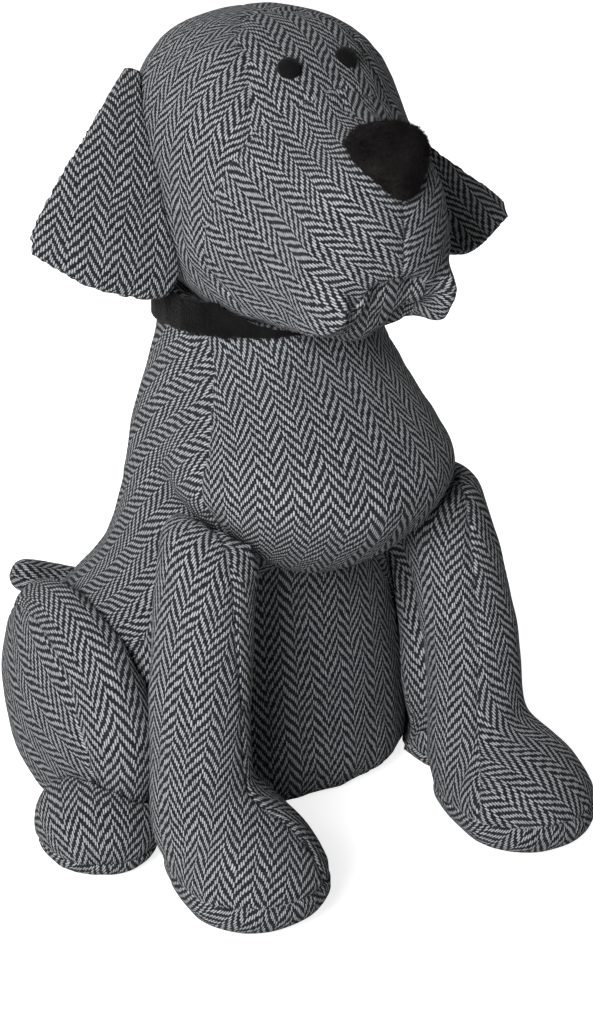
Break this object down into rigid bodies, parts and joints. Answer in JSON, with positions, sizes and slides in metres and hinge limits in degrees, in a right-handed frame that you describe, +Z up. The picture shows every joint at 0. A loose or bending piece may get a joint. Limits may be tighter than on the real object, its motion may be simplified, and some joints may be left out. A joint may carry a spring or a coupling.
{
  "type": "weighted fabric door stop",
  "caption": "Weighted fabric door stop in the form of a sitting dog, sewn from herringbone tweed, with a plush nose, covered-button eyes, hanging ears and a velour collar.",
  "frame": {"origin": "on the flat underside of the base, under the upright axis of the base", "axes": "+Z up; the dog faces -Y; +X is its left side"},
  "size_m": [0.2432, 0.283, 0.358],
  "materials": {
    "tweed": "grey and charcoal herringbone tweed, matt",
    "plush": "short black plush pile",
    "velour": "charcoal velour with a soft sheen",
    "button_cloth": "smooth black cloth over a button"
  },
  "bodies": {
    "root": {"torso": "tweed", "head": "tweed", "ear_right": "tweed", "ear_left": "tweed", "front_leg_right": "tweed", "front_leg_left": "tweed", "haunch_right": "tweed", "haunch_left": "tweed", "hind_paw_right": "tweed", "hind_paw_left": "tweed", "tail": "tweed", "nose": "plush", "collar": "velour", "eye_right": "button_cloth", "eye_left": "button_cloth"}
  },
  "joints": []
}
